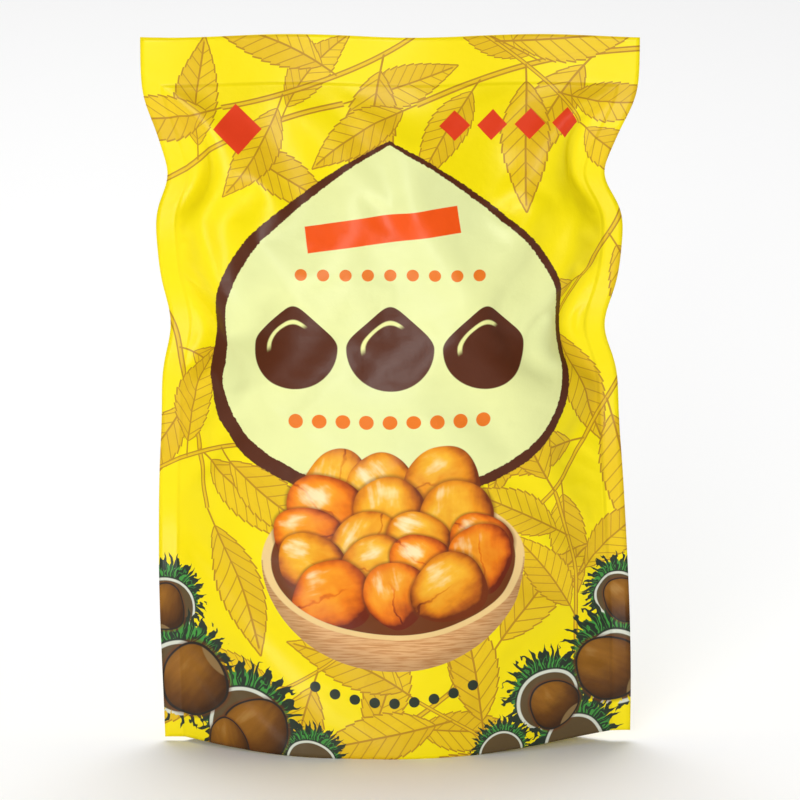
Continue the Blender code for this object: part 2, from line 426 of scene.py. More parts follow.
# Pale field: centre, half width, height to its tip, depth to its foot, powers above and below, line
FIELD_CENTRE = (0, 165)
FIELD_HALF_WIDTH = 78
FIELD_TIP = 93
FIELD_FOOT = 56
FIELD_TIP_POWER = 2.35
FIELD_FOOT_POWER = 2.35
FIELD_LINE = 5.0
FIELD_LINE_LEAN = 0.34
FIELD_LINE_THINNER = 0.72
FIELD_LINE_ROUGH = 1.1
FIELD_LINE_ROUGH_SCALE = 0.7
FIELD_LINE_SWELL = 0.5
FIELD_LINE_SWELL_SCALE = 0.05
PALE_SCALE = 0.012
GROUND_SCALE = 0.010

# Centre, half width and half height
LABEL = (-3, 222, 31.5, 5.6)
LABEL_TILT = math.radians(8)
BOWL = (1, 81, 54, 32)
BOWL_DEPTH = 45
BOWL_RIM_SHARE = 0.93
HEAP_SHADE = (1, 96, 36, 22)
BACK_BLOCK = (0, 165, 70, 92)
BACK_BLOCK_POWER = 12
BACK_LINE = 1.2

# Kinds of round shape. A shape's tone is its kind plus a share of 1, which is random on natural things.
# A bare kernel casts no shade on what is under it.
KERNEL = 0
NUT = 1
SILHOUETTE = 2
DIAMOND = 3
DOT = 4
HUSK = 5
DARK_DOT = 6
BARE_KERNEL = 7
TONE_SHARES = (0.01, 0.99)
PLAIN_SHARE = 0.5

# Rows of plain figures: middle s, t, spacing, count, rise towards the ends, radius, kind
FIGURE_ROWS = (
    (0, 172, 39, 3, 0, 18, SILHOUETTE),
    (0, 203, 9, 9, 0, 2.5, DOT),
    (0, 141, 9.5, 9, 0, 3.0, DOT),
    (49, 264, 15.5, 4, 0, 6.4, DIAMOND),
    (-62, 262, 0, 1, 0, 10.5, DIAMOND),
    (0, 23, 8, 9, 0.0062, 2.2, DARK_DOT),
)

# Rows of kernels in the bowl, from the back: middle s, height, count, spacing, kind
KERNEL_ROWS = (
    (0, 114, 3, 23, BARE_KERNEL),
    (0, 102, 3, 26, KERNEL),
    (0, 91, 4, 23, KERNEL),
    (3, 79, 4, 23, KERNEL),
    (0, 68, 3, 25, KERNEL),
)
KERNEL_RADIUS = 15.8
KERNEL_SIZES = (0.86, 1.14)
KERNEL_SCATTER = 3.0
ROW_SAG = 0.00010

# Spiny husks of the lower corners and the nuts in them: s, t, radius
CORNER_HUSKS = (
    (-97, 60, 19), (-92, 30, 27), (-62, 14, 26), (-34, 0, 16),
    (96, 62, 17), (94, 34, 26), (64, 22, 21), (76, 0, 22), (44, 2, 14),
)
CORNER_NUTS = (
    (-99, 56, 11), (-86, 25, 17), (-57, 8, 16), (-70, 2, 11),
    (98, 58, 10), (90, 29, 16), (66, 17, 12),
)

# Sprigs of ochre leaves: foot s and t, degrees, length of the twig
FRONT_SPRIGS = (
    (-104, 238, 22, 92), (14, 304, -158, 88), (104, 296, -166, 96), (30, 306, -40, 66),
    (104, 232, -118, 84), (-102, 184, -74, 88), (104, 158, -128, 78), (-104, 112, 16, 76),
    (-30, -6, 34, 84), (60, -8, 148, 60), (76, 36, 96, 72), (-20, 44, -154, 60),
)
BACK_SPRIGS = (
    (-104, 290, -18, 96), (60, 306, -150, 80), (104, 250, -140, 90), (-102, 214, -66, 90),
    (104, 166, -112, 92), (-104, 84, 26, 88), (104, 92, -158, 86), (-60, -6, 42, 90),
    (40, -8, 60, 80),
)

# Leaves of a sprig: place along the twig, degrees off it
SPRIG_LEAVES = ((0.22, 44), (0.46, -46), (0.72, 42), (1.0, 4))
SPRIG_LEAF = 54
SPRIG_LEAF_SIZES = (0.82, 1.18)
SPRIG_LEAF_SWAY = 9
SPRIG_BEND = 0.07
LEAF_BELLY = 0.165
LEAF_BELLY_TURN = 0.8
LEAF_PETIOLE = 0.12
SHAPE_MARGIN = 2.2
SHAPE_SPREAD = 1.12
CELL = 1.2
PRINT_EDGE = 0.15
NOWHERE = (9, 9, 0)

# Kinds of sprig part
LEAF = 0
TWIG = 1


def field_marks():
    """Plain figures in and beside the pale field: s, t, radius, tone."""
    marks = []
    for middle, t, spacing, count, rise, radius, kind in FIGURE_ROWS:
        for i in range(count):
            beside = (i - (count - 1) / 2) * spacing
            marks.append((middle + beside, t + rise * beside**2, radius, kind + PLAIN_SHARE))
    return marks


def bowl_kernels(rng):
    """Kernels heaped in the bowl, back rows first: s, t, radius, tone."""
    shapes = []
    for middle, height, count, spacing, kind in KERNEL_ROWS:
        for i in range(count):
            s = middle + (i - (count - 1) / 2) * spacing
            s += rng.uniform(-KERNEL_SCATTER, KERNEL_SCATTER)
            t = height + rng.uniform(-KERNEL_SCATTER, KERNEL_SCATTER)
            t -= ROW_SAG * (height - BOWL[1]) * s * s
            radius = KERNEL_RADIUS * rng.uniform(*KERNEL_SIZES)
            shapes.append((s, t, radius, kind + rng.uniform(*TONE_SHARES)))
    return shapes


def front_marks():
    """Round shapes of the front print, lowest first."""
    rng = np.random.default_rng(PRINT_SEED)
    kernels = bowl_kernels(rng)
    husks = [(*place, HUSK + rng.uniform(*TONE_SHARES)) for place in CORNER_HUSKS]
    nuts = [(*place, NUT + rng.uniform(*TONE_SHARES)) for place in CORNER_NUTS]
    return field_marks() + kernels + husks + nuts


def on_twig(twig, share):
    """Place and direction on a bent twig at a share of its length."""
    s, t, angle, length, bend, _ = twig
    lift = 4 * bend * share * (1 - share)
    s += length * (share * math.cos(angle) - lift * math.sin(angle))
    t += length * (share * math.sin(angle) + lift * math.cos(angle))
    return s, t, angle + math.atan(4 * bend * (1 - 2 * share))


def sprig(s, t, degrees, length, rng):
    """A bent twig with leaves on both sides and one at its tip: s, t, angle, length, bend, kind."""
    twig = (s, t, math.radians(degrees), length, rng.uniform(-SPRIG_BEND, SPRIG_BEND), TWIG)
    parts = [twig]
    for share, fan in SPRIG_LEAVES:
        leaf_s, leaf_t, angle = on_twig(twig, share)
        angle += math.radians(fan + rng.uniform(-SPRIG_LEAF_SWAY, SPRIG_LEAF_SWAY))
        size = SPRIG_LEAF * rng.uniform(*SPRIG_LEAF_SIZES)
        parts.append((leaf_s, leaf_t, angle, size, rng.uniform(-SPRIG_BEND, SPRIG_BEND), LEAF))
    return parts


def sprig_parts(sprigs, seed):
    rng = np.random.default_rng(seed)
    return [part for foot in sprigs for part in sprig(*foot, rng)]


def face_centres(places, face_of_corner, faces):
    count = np.bincount(face_of_corner, minlength=faces)
    sums = [np.bincount(face_of_corner, weights=places[:, axis], minlength=faces) for axis in (0, 1)]
    return np.stack(sums, axis=1) / count[:, None]


def part_local(places, part):
    """Places along and across a leaf or twig, as shares of its length, with its bend taken out."""
    s, t, angle, length, bend, _ = part
    x = (places[:, 0] - s) / length
    y = (places[:, 1] - t) / length
    u = x * math.cos(angle) + y * math.sin(angle)
    v = y * math.cos(angle) - x * math.sin(angle)
    return u, v - 4 * bend * u * (1 - u)


def part_inside(places, part):
    """How far a place lies inside a leaf or twig, in millimetres; below zero outside."""
    u, v = part_local(places, part)
    beyond = np.maximum(u - 1, 0) + np.maximum(-u, 0)
    blade = np.clip((u - LEAF_PETIOLE) / (1 - LEAF_PETIOLE), 0, 1)
    half = LEAF_BELLY * np.sin(math.pi * blade**LEAF_BELLY_TURN) * (part[5] != TWIG)
    return (half - np.abs(v) - beyond) * part[3]


def owned_places(places, owner, shapes, local):
    """Coordinates of each corner in the shape that owns its face, or far off where none does."""
    result = np.tile(np.array(NOWHERE, float), (len(places), 1))
    for k, shape in enumerate(shapes):
        here = owner == k
        result[here] = local(places[here], shape)
    return result


def sprig_local(places, part):
    u, v = part_local(places, part)
    return np.column_stack([u, v, np.full(len(u), part[5])])


def mark_local(places, mark):
    s, t, radius, tone = mark
    return np.column_stack([(places - (s, t)) / radius, np.full(len(places), tone)])


def sprig_places(places, centres, face_of_corner, parts):
    """Each face takes the coordinates of the sprig parts that it lies most inside, the upper ones first."""
    inside = np.array([part_inside(centres, part) for part in parts])
    wanted = np.where(inside > -SHAPE_MARGIN, inside, -np.inf)
    nearest = np.argsort(-wanted, axis=0)[: len(SPRIG_LAYERS)]
    nearest = np.where(np.isfinite(np.take_along_axis(wanted, nearest, axis=0)), nearest, -1)
    owners = -np.sort(-nearest, axis=0)
    return [owned_places(places, owner[face_of_corner], parts, sprig_local) for owner in owners]


def mark_places(places, centres, face_of_corner, marks):
    """Each face takes the coordinates of the round shapes over it, the topmost first."""
    owners = np.full((len(MARK_LAYERS), len(centres)), -1)
    for k in reversed(range(len(marks))):
        s, t, radius, _ = marks[k]
        hit = np.hypot(centres[:, 0] - s, centres[:, 1] - t) < radius * SHAPE_SPREAD + CELL
        for owner in owners:
            take = hit & (owner < 0)
            owner[take] = k
            hit = hit & ~take
    return [owned_places(places, owner[face_of_corner], marks, mark_local) for owner in owners]


def write_places(mesh, name, values):
    attribute = mesh.attributes.new(name, "FLOAT_VECTOR", "CORNER")
    attribute.data.foreach_set("vector", values.astype(np.float32).ravel())


def lay_out_print(mesh):
    """Writes where each face lies in the sprig parts and the round shapes printed on it."""
    corners = len(mesh.loops)
    faces = len(mesh.polygons)
    uv = np.empty(corners * 2, np.float32)
    mesh.uv_layers["film"].uv.foreach_get("vector", uv)
    places = uv.reshape(-1, 2).astype(float) * MILLIMETRES
    totals = np.empty(faces, np.int32)
    mesh.polygons.foreach_get("loop_total", totals)
    slots = np.empty(faces, np.int32)
    mesh.polygons.foreach_get("material_index", slots)
    face_of_corner = np.repeat(np.arange(faces), totals)
    centres = face_centres(places, face_of_corner, faces)
    front = (slots == FRONT)[face_of_corner]
    front_sprigs = sprig_parts(FRONT_SPRIGS, PRINT_SEED)
    back_sprigs = sprig_parts(BACK_SPRIGS, PRINT_SEED + 1)
    front_layers = sprig_places(places, centres, face_of_corner, front_sprigs)
    back_layers = sprig_places(places, centres, face_of_corner, back_sprigs)
    for name, on_front, on_back in zip(SPRIG_LAYERS, front_layers, back_layers):
        write_places(mesh, name, np.where(front[:, None], on_front, on_back))
    layers = mark_places(places, centres, face_of_corner, front_marks())
    for name, values in zip(MARK_LAYERS, layers):
        write_places(mesh, name, np.where(front[:, None], values, NOWHERE))


# Mesh of the film


def add_sheet(bm, points, slot, s, t):
    """Adds a grid of quads through rows of points, with one material slot and places on the flat film."""
    film_uv = bm.loops.layers.uv["film"]
    rows, columns, _ = points.shape
    verts = [[bm.verts.new(point) for point in row] for row in points]
    for i in range(rows - 1):
        for j in range(columns - 1):
            face = bm.faces.new((verts[i][j], verts[i][j + 1], verts[i + 1][j + 1], verts[i + 1][j]))
            face.material_index = slot
            face.smooth = True
            around = ((i, j), (i, j + 1), (i + 1, j + 1), (i + 1, j))
            for loop, (row, column) in zip(face.loops, around):
                loop[film_uv].uv = (s[column], t[row])


def film_grid():
    inner = np.linspace(-INNER_HALF, INNER_HALF, BODY_COLUMNS + 1)
    seal = np.linspace(INNER_HALF, HALF_WIDTH, SEAL_COLUMNS + 1)[1:]
    s = np.concatenate([-seal[::-1], inner, seal])
    filled = np.linspace(0, FILLED_HEIGHT, BODY_ROWS + 1)
    sealed = np.linspace(FILLED_HEIGHT, FLAT_HEIGHT, TOP_SEAL_ROWS + 1)[1:]
    return s, np.concatenate([filled, sealed])


def build_film():
    s, t = film_grid()
    front = panel(s, t, -1, FRONT_FOLDS)
    back = panel(s, t, 1, BACK_FOLDS)
    front = slack_film(front, s, t, -1, RELAX_SEED)
    back = slack_film(back, s, t, 1, RELAX_SEED + 1)
    middle = (front + back) / 2
    bm = bmesh.new()
    bm.loops.layers.uv.new("film")
    add_sheet(bm, front, FRONT, s, t)
    add_sheet(bm, back, BACK, s, t)
    for edge, facing in ((front[0], -1), (back[0], 1)):
        underside = gusset(edge, s, facing)
        add_sheet(bm, underside, GUSSET, s, np.zeros(len(underside)))
    add_sheet(bm, np.array([front[-1], middle[-1], back[-1]]), GUSSET, s, np.full(3, FLAT_HEIGHT))
    for end in (0, -1):
        side = np.array([front[:, end], middle[:, end], back[:, end]])
        add_sheet(bm, side, GUSSET, t, np.zeros(3))
    bmesh.ops.remove_doubles(bm, verts=bm.verts, dist=WELD)
    bmesh.ops.dissolve_degenerate(bm, edges=bm.edges, dist=WELD)
    bmesh.ops.recalc_face_normals(bm, faces=bm.faces)
    points = np.array([vert.co for vert in bm.verts])
    low = points.min(axis=0)
    high = points.max(axis=0)
    shift = -(low + high) / 2
    shift[2] = -low[2]
    bmesh.ops.translate(bm, verts=bm.verts, vec=shift)
    mesh = bpy.data.meshes.new("pouch_film")
    bm.to_mesh(mesh)
    bm.free()
    lay_out_print(mesh)
    film = bpy.data.objects.new("pouch_film", mesh)
    bpy.context.scene.collection.objects.link(film)
    return film


# Arithmetic with shader nodes


class Value:
    """What a node gives. Each sum, product or power of it adds a node."""

    def __init__(self, nodes, socket):
        self.nodes = nodes
        self.socket = socket

    def __add__(self, other):
        return self.nodes.math("ADD", self, other)

    def __sub__(self, other):
        return self.nodes.math("SUBTRACT", self, other)

    def __rsub__(self, other):
        return self.nodes.math("SUBTRACT", other, self)

    def __mul__(self, other):
        return self.nodes.math("MULTIPLY", self, other)

    def __truediv__(self, other):
        return self.nodes.math("DIVIDE", self, other)

    def __pow__(self, other):
        return self.nodes.math("POWER", self, other)

    def __abs__(self):
        return self.nodes.math("ABSOLUTE", self)

    __radd__ = __add__
    __rmul__ = __mul__


class Nodes:
    """Adds nodes to one tree. Their inputs are numbers, colours or values of other nodes."""

    def __init__(self, tree):
        self.tree = tree

    def feed(self, entry, value):
        if isinstance(value, Value):
            self.tree.links.new(value.socket, entry)
        else:
            entry.default_value = value

    def add(self, kind, inputs=(), **settings):
        node = self.tree.nodes.new(kind)
        for name, value in settings.items():
            setattr(node, name, value)
        for key, value in inputs:
            self.feed(node.inputs[key], value)
        return node

    def value(self, kind, inputs=(), out=0, **settings):
        return Value(self, self.add(kind, inputs, **settings).outputs[out])

    def math(self, operation, a, b=0.0, c=0.0):
        return self.value("ShaderNodeMath", ((0, a), (1, b), (2, c)), operation=operation)

    def larger(self, a, b):
        return self.math("MAXIMUM", a, b)

    def smaller(self, a, b):
        return self.math("MINIMUM", a, b)

    def fraction(self, a):
        return self.math("FRACT", a)

    def length(self, x, y):
        return self.math("SQRT", x * x + y * y)

    def same(self, a, b):
        """1 where two whole numbers are the same, 0 elsewhere."""
        return self.math("COMPARE", a, b, 0.5)

    def step(self, value, low, high):
        """0 at low and 1 at high, smooth between; low may be the higher one."""
        inputs = [("Value", value), ("From Min", min(low, high)), ("From Max", max(low, high))]
        if low > high:
            inputs += [("To Min", 1.0), ("To Max", 0.0)]
        return self.value("ShaderNodeMapRange", inputs, interpolation_type="SMOOTHSTEP")

    def edge(self, value):
        """0 outside and 1 inside a printed edge, by the distance inside it in millimetres."""
        return self.step(value, -PRINT_EDGE, PRINT_EDGE)

    def inside(self, value, low, high, soft):
        return self.step(value, low - soft, low + soft) * self.step(value, high + soft, high - soft)

    def blend(self, share, a, b):
        """Colour a where share is 0, b where it is 1."""
        return self.value("ShaderNodeMix", ((0, share), (6, a), (7, b)), out=2, data_type="RGBA")

    def pick(self, share, a, b):
        """Number a where share is 0, b where it is 1."""
        return self.value("ShaderNodeMix", ((0, share), (2, a), (3, b)), data_type="FLOAT")

    def scaled(self, vector, factor):
        """A colour or a place times a number."""
        inputs = ((0, vector), ("Scale", factor))
        return self.value("ShaderNodeVectorMath", inputs, operation="SCALE")

    def vector(self, x, y, z=0.0):
        return self.value("ShaderNodeCombineXYZ", ((0, x), (1, y), (2, z)))

    def split(self, vector):
        node = self.add("ShaderNodeSeparateXYZ", ((0, vector),))
        return [Value(self, socket) for socket in node.outputs[:3]]

    def noise(self, vector, scale, detail=2.0):
        inputs = (("Vector", vector), ("Scale", scale), ("Detail", detail))
        return self.value("ShaderNodeTexNoise", inputs, out="Fac")

    def ramp(self, value, stops):
        node = self.add("ShaderNodeValToRGB", ((0, value),))
        elements = node.color_ramp.elements
        while len(elements) < len(stops):
            elements.new(1)
        for element, (place, colour) in zip(elements, stops):
            element.position = place
            element.color = colour
        return Value(self, node.outputs[0])

    def layer(self, group, attribute, under):
        """A printed layer by its group, placed by the attribute of the given name."""
        place = self.value("ShaderNodeAttribute", out="Vector", attribute_name=attribute)
        return self.value("ShaderNodeGroup", (("Place", place), ("Under", under)), node_tree=group)


def layer_group(name, draw):
    """A group that lays one printed layer over the colour under it."""
    tree = bpy.data.node_groups.new(name, "ShaderNodeTree")
    tree.interface.new_socket("Place", in_out="INPUT", socket_type="NodeSocketVector")
    tree.interface.new_socket("Under", in_out="INPUT", socket_type="NodeSocketColor")
    tree.interface.new_socket("Colour", in_out="OUTPUT", socket_type="NodeSocketColor")
    nodes = Nodes(tree)
    entry = nodes.add("NodeGroupInput")
    place, under = [Value(nodes, socket) for socket in entry.outputs[:2]]
    leave = nodes.add("NodeGroupOutput")
    nodes.feed(leave.inputs["Colour"], draw(nodes, place, under))
    return tree


# Inks, and the share of light that a print returns where full light falls on it
INK_SHARE = 0.86


def ink(red, green, blue):
    """Linear colour of a print ink, given as it looks in full light in 0 to 255."""
    shares = [channel / 255 for channel in (red, green, blue)]
    linear = [c / 12.92 if c <= 0.04045 else ((c + 0.055) / 1.055) ** 2.4 for c in shares]
    return (*(INK_SHARE * c for c in linear), 1)


YELLOW = ink(252, 233, 8)
YELLOW_WARM = ink(251, 226, 6)
OCHRE = ink(238, 200, 24)
OCHRE_DEEP = ink(230, 188, 26)
OCHRE_LINE = ink(188, 138, 30)
RING_BROWN = ink(88, 42, 20)
PALE = ink(241, 243, 160)
PALE_COOL = ink(230, 238, 178)
ORANGE = ink(246, 88, 20)
RED = ink(228, 64, 28)
DOT_ORANGE = ink(236, 122, 34)
WOOD_RIM = ink(240, 206, 140)
WOOD = ink(226, 176, 120)
WOOD_GRAIN = ink(202, 144, 88)
BOWL_SHADE = ink(112, 56, 18)
KERNEL_STOPS = (
    (0.0, ink(116, 48, 8)),
    (0.24, ink(192, 100, 18)),
    (0.48, ink(236, 148, 22)),
    (0.74, ink(248, 184, 46)),
    (1.0, ink(253, 222, 124)),
)
KERNEL_DEEP_STOPS = (
    (0.0, ink(110, 34, 4)),
    (0.24, ink(196, 84, 10)),
    (0.48, ink(240, 126, 14)),
    (0.74, ink(250, 162, 34)),
    (1.0, ink(253, 208, 108)),
)
KERNEL_GLEAM = ink(255, 242, 200)
NUT_STOPS = (
    (0.0, ink(66, 40, 20)),
    (0.42, ink(108, 66, 22)),
    (0.74, ink(152, 100, 30)),
    (1.0, ink(204, 160, 92)),
)
NUT_BASE = ink(150, 122, 78)
NUT_LINE = ink(46, 40, 34)
HUSK_GREEN = ink(72, 152, 66)
HUSK_DARK = ink(46, 56, 44)
HUSK_PALE = ink(218, 222, 206)
HUSK_INSIDE = ink(96, 78, 50)

# Leaves and twigs, in shares of their length: widths, and where a line starts and is full
TWIG_HALF = 0.0095
TWIG_LINE = 0.0036
LEAF_LINE = 0.0062
LINE_FADE = (1.25, 0.7)
FILL_EDGE = 0.003
END_EDGE = 0.004
SHADE_EDGE = 0.01
LEAF_FILL = 0.94
MIDRIB = (0.0095, 0.0045)
MIDRIB_SPAN = (0.0, 0.95, 0.01)
VEINS = 9.0
VEIN_LEAN = 1.1
VEIN_LINE = (0.085, 0.035)
VEIN_SPAN = (0.05, 0.92, 0.03)
VEIN_INK = 0.8
LEAF_TEETH = 13.0
LEAF_TOOTH = 0.016


def draw_sprig(nodes, place, under):
    """One leaf with its outline, midrib, side veins and stem, or one twig in double line."""
    u, v, kind = nodes.split(place)
    across = abs(v)
    is_twig = nodes.same(kind, TWIG)
    share = (u - LEAF_PETIOLE) / (1 - LEAF_PETIOLE)
    share = nodes.smaller(nodes.larger(share, 0.0), 1.0)
    belly = nodes.math("SINE", share**LEAF_BELLY_TURN * math.pi)
    tooth = (nodes.fraction(share * LEAF_TEETH) - 0.5) * LEAF_TOOTH
    depth = nodes.pick(is_twig, belly * (tooth + LEAF_BELLY), TWIG_HALF) - across
    on_leaf = nodes.inside(u, LEAF_PETIOLE, 1.0, END_EDGE)
    on_part = nodes.pick(is_twig, on_leaf, nodes.inside(u, 0.0, 1.0, END_EDGE))
    fill = nodes.step(depth, -FILL_EDGE, FILL_EDGE) * on_part
    line_width = nodes.pick(is_twig, LEAF_LINE, TWIG_LINE)
    outline = nodes.step(abs(depth) / line_width, *LINE_FADE) * on_part
    midrib = nodes.step(across, *MIDRIB) * nodes.inside(u, *MIDRIB_SPAN)
    wave = nodes.fraction((share - across * VEIN_LEAN) * VEINS)
    vein = nodes.step(abs(wave - 0.5), *VEIN_LINE) * fill * nodes.inside(share, *VEIN_SPAN)
    leaf_line = nodes.larger(midrib, vein * VEIN_INK) * (1 - is_twig)
    ochre = nodes.blend(nodes.step(v, -SHADE_EDGE, SHADE_EDGE), OCHRE, OCHRE_DEEP)
    colour = nodes.blend(fill * LEAF_FILL, under, ochre)
    return nodes.blend(nodes.larger(outline, leaf_line), colour, OCHRE_LINE)


# Round shapes, in shares of their radius. A pair says where an effect starts and where it is full.
SHAPE_EDGE = (1.0, 0.975)
SHADOW_EDGE = (1.10, 0.98)
SHADOW_SHARE = 0.62
ROUND_LIGHT = (-0.36, 0.50, 0.78)
POINT_SHARPNESS = 1.3

# Egg of kernels and nuts: how it turns by chance, its width, taper and height, and its lumps
EGG_TURNS = 44.0
EGG_WIDTH = 1.14
EGG_TAPER = 0.20
EGG_HEIGHT = 1.02
EGG_LUMPS = 0.16

# Noise on round shapes: how far chance moves it, scale, detail
LUMPS = (70.0, 1.1, 0.0)
BLOTCHES = (90.0, 1.5, 3.0)
GRAIN = (60.0, 1.0, 2.0)
GRAIN_STRETCH = (5.2, 1.3)

# Kernels: shade from light, blotches and grain, the darker edge, the crease and the gleam
KERNEL_LIGHT = 0.66
KERNEL_BLOTCH = 0.85
KERNEL_GRAIN = 0.28
KERNEL_LIFT = 0.16
KERNEL_EDGE = (0.62, 1.05)
KERNEL_EDGE_SHADE = 0.30
CREASE_BEND = 0.7
CREASE_LINE = (0.05, 0.0)
CREASE_END = (0.1, 0.5)
CREASE_SHADE = 0.26
DEEP_BLOTCH = 0.4
DEEP_FROM = (0.55, 0.85)
GLEAM_UNEVEN = 0.5
GLEAM_FROM = (0.88, 1.10)
GLEAM_SHARE = 0.7

# Brown nuts: light and grain, the dull patch at the base, and the outline
NUT_LIGHT = 0.78
NUT_GRAIN = 0.30
NUT_BASE_PLACE = 1.12
NUT_BASE_STRETCH = (0.95, 1.5)
NUT_BASE_EDGE = (0.66, 0.60)
NUT_BASE_SHARE = 0.8
NUT_OUTLINE = (0.91, 0.94)

# Gleam on a silhouette: an arc of light
ARC_LEAN = -0.7
ARC_BAND = (0.56, 0.66, 0.02)
ARC_END = (0.25, 0.45)

# Spiny husks: spines, their unevenness, dark between and round them, and the rings of the opening
HUSK_SPINES = 28
HUSK_BODY = 0.70
BRISTLE_STRETCH = (0.9, 2.6)
BRISTLE_CURL = 3.0
GREEN_CENTRE = 0.35
GREEN_EDGE = (0.22, 0.34)
TIPS_FROM = (0.66, 0.80)
OPENING_DROP = 0.16
OPENING_LUMPS = 0.2
HUSK_RINGS = (
    (0.68, 0.65, HUSK_DARK),
    (0.64, 0.62, HUSK_PALE),
    (0.58, 0.56, HUSK_INSIDE),
)


def egg_radius(nodes, p, q, lumps):
    width = p * (q * EGG_TAPER + EGG_WIDTH)
    return nodes.length(width, q * EGG_HEIGHT) + (lumps - 0.5) * EGG_LUMPS


def pointed_radius(nodes, a, b):
    """Round below, pointed above."""
    above = nodes.larger(b, 0.0)
    return nodes.length(a * (above * above * POINT_SHARPNESS + 1.0), b)


def off_spine(nodes, a, b, distance, chance):
    """0 on the middle of a husk's spine, 1 halfway between two."""
    turn = nodes.math("ARCTAN2", b, a) * (HUSK_SPINES / (2 * math.pi))
    turned, outward = BRISTLE_STRETCH
    curl = nodes.noise(nodes.vector(turn * turned, distance * outward, chance), 1.0) - 0.5
    return abs(nodes.fraction(turn + curl * BRISTLE_CURL) - 0.5) * 2.0


def kernel_colour(nodes, lit, radius, p, q, blotch, grain, chance):
    shade = lit * KERNEL_LIGHT + (blotch - 0.5) * KERNEL_BLOTCH + (grain - 0.5) * KERNEL_GRAIN
    shade = shade + KERNEL_LIFT - nodes.step(radius, *KERNEL_EDGE) * KERNEL_EDGE_SHADE
    crease = nodes.step(abs(p + (blotch - 0.5) * CREASE_BEND), *CREASE_LINE)
    shade = shade - crease * nodes.step(q + chance, *CREASE_END) * CREASE_SHADE
    deep = nodes.step(chance + blotch * DEEP_BLOTCH, *DEEP_FROM)
    kernel = nodes.blend(deep, nodes.ramp(shade, KERNEL_STOPS), nodes.ramp(shade, KERNEL_DEEP_STOPS))
    patches = (blotch + grain - 1.0) * GLEAM_UNEVEN
    gleam = nodes.step(lit + patches, *GLEAM_FROM) * GLEAM_SHARE
    return nodes.blend(gleam, kernel, KERNEL_GLEAM)


def nut_colour(nodes, lit, radius, p, q, grain):
    nut = nodes.ramp(lit * NUT_LIGHT + (grain - 0.5) * NUT_GRAIN, NUT_STOPS)
    wide, high = NUT_BASE_STRETCH
    base = nodes.length(p * wide, (q + NUT_BASE_PLACE) * high)
    nut = nodes.blend(nodes.step(base, *NUT_BASE_EDGE) * NUT_BASE_SHARE, nut, NUT_BASE)
    return nodes.blend(nodes.step(radius, *NUT_OUTLINE), nut, NUT_LINE)


def silhouette_colour(nodes, a, b, radius):
    arc = nodes.inside(radius, *ARC_BAND) * nodes.step(a * ARC_LEAN + b, *ARC_END)
    return nodes.blend(arc, RING_BROWN, PALE)


def husk_colour(nodes, a, b, distance, spine, lumps):
    between = nodes.step(abs(spine - GREEN_CENTRE), *GREEN_EDGE)
    husk = nodes.blend(between, HUSK_DARK, HUSK_GREEN)
    husk = nodes.blend(nodes.step(distance, *TIPS_FROM), husk, HUSK_DARK)
    opening = nodes.length(a, b + OPENING_DROP) + (lumps - 0.5) * OPENING_LUMPS
    for start, full, colour in HUSK_RINGS:
        husk = nodes.blend(nodes.step(opening, start, full), husk, colour)
    return husk


def draw_mark(nodes, place, under):
    """One round shape, of the kind that the whole part of its tone says."""
    a, b, tone = nodes.split(place)
    kind = nodes.math("FLOOR", tone)
    chance = nodes.fraction(tone)
    turn = chance * EGG_TURNS
    sine = nodes.math("SINE", turn)
    cosine = nodes.math("COSINE", turn)
    p = a * cosine - b * sine
    q = a * sine + b * cosine

    def chance_noise(x, y, move, scale, detail):
        return nodes.noise(nodes.vector(x, y, chance * move), scale, detail)

    lumps = chance_noise(p, q, *LUMPS)
    blotch = chance_noise(a, b, *BLOTCHES)
    along, across = GRAIN_STRETCH
    grain = chance_noise(p * along, q * across, *GRAIN)
    distance = nodes.length(a, b)
    egg = egg_radius(nodes, p, q, lumps)
    height = nodes.math("SQRT", nodes.larger(1 - egg * egg, 0.0))
    from_side, from_above, from_front = ROUND_LIGHT
    lit = a * from_side + b * from_above + height * from_front
    pointed = pointed_radius(nodes, a, b)
    spine = off_spine(nodes, a, b, distance, chance)
    spiny = distance / (1 - spine * (1 - HUSK_BODY))

    radius = egg
    colour = kernel_colour(nodes, lit, egg, p, q, blotch, grain, chance)
    for other, own_radius, own_colour in (
        (NUT, egg, nut_colour(nodes, lit, egg, p, q, grain)),
        (SILHOUETTE, pointed, silhouette_colour(nodes, a, b, pointed)),
        (DIAMOND, abs(a) + abs(b), RED),
        (DOT, distance, DOT_ORANGE),
        (DARK_DOT, distance, HUSK_DARK),
        (HUSK, spiny, husk_colour(nodes, a, b, distance, spine, lumps)),
    ):
        here = nodes.same(kind, other)
        radius = nodes.pick(here, radius, own_radius)
        colour = nodes.blend(here, colour, own_colour)

    casts = nodes.math("LESS_THAN", kind, SILHOUETTE) * SHADOW_SHARE
    shaded = nodes.blend(nodes.step(radius, *SHADOW_EDGE) * casts, under, BOWL_SHADE)
    return nodes.blend(nodes.step(radius, *SHAPE_EDGE), shaded, colour)


def superellipse(s, t, shape, power):
    """Share of the way from a shape's centre to its edge."""
    centre_s, centre_t, half_width, half_height = shape
    x = abs((s - centre_s) / half_width)
    y = abs((t - centre_t) / half_height)
    return (x**power + y**power) ** (1 / power)


def pale_ink(nodes, film):
    return nodes.blend(nodes.noise(film, PALE_SCALE, 1.0), PALE, PALE_COOL)


